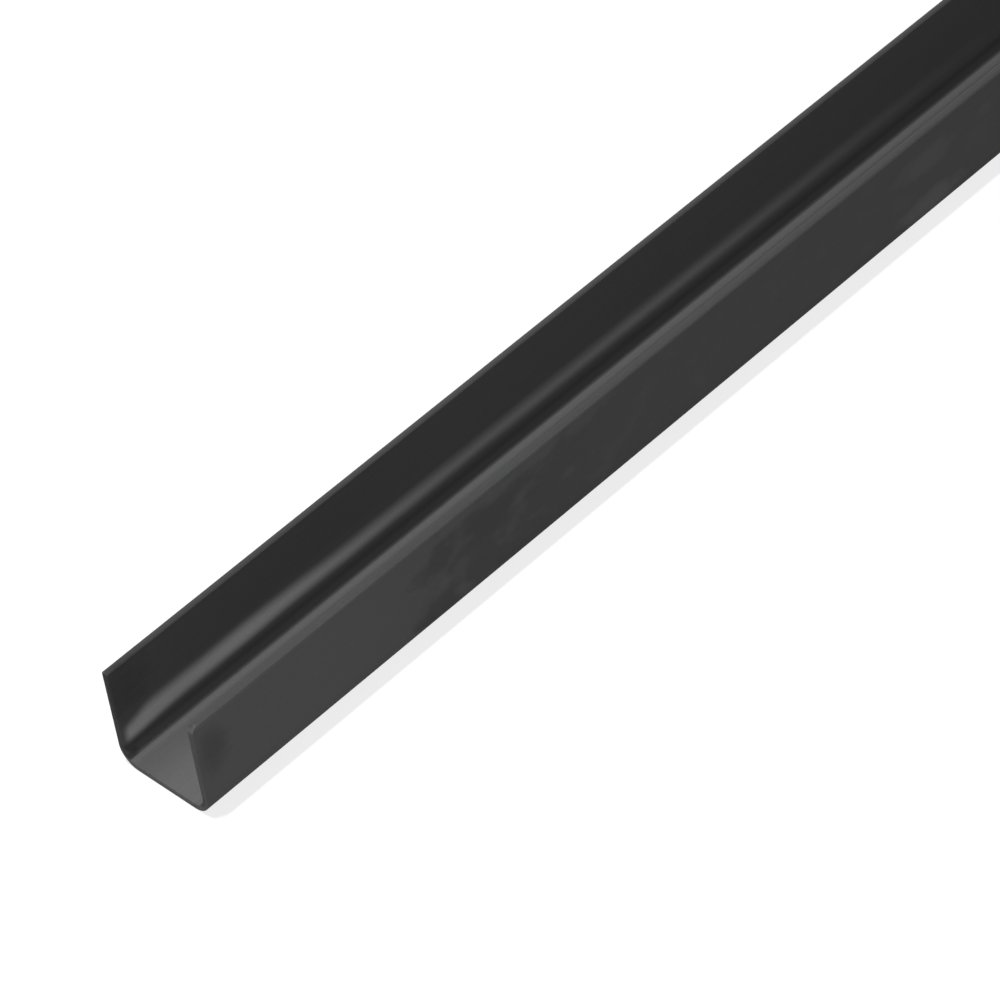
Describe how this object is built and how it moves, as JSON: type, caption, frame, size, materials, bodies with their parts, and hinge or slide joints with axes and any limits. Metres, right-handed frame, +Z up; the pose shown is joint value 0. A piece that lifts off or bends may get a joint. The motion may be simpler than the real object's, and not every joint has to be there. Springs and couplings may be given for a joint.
{
  "type": "steel u-channel",
  "caption": "Length of thin cold-formed steel U-channel with equal flanges and square-cut ends, for framing, edging and bracing.",
  "frame": {"origin": "middle of the web's underside, half way along the length", "axes": "+X along the length, +Z up out of the open side, +Y from the front flange to the back flange"},
  "size_m": [0.9144, 0.0254, 0.0254],
  "materials": {
    "dark_steel": "dark oxide over bare steel, satin"
  },
  "bodies": {
    "root": {"u_channel": "dark_steel"}
  },
  "joints": []
}
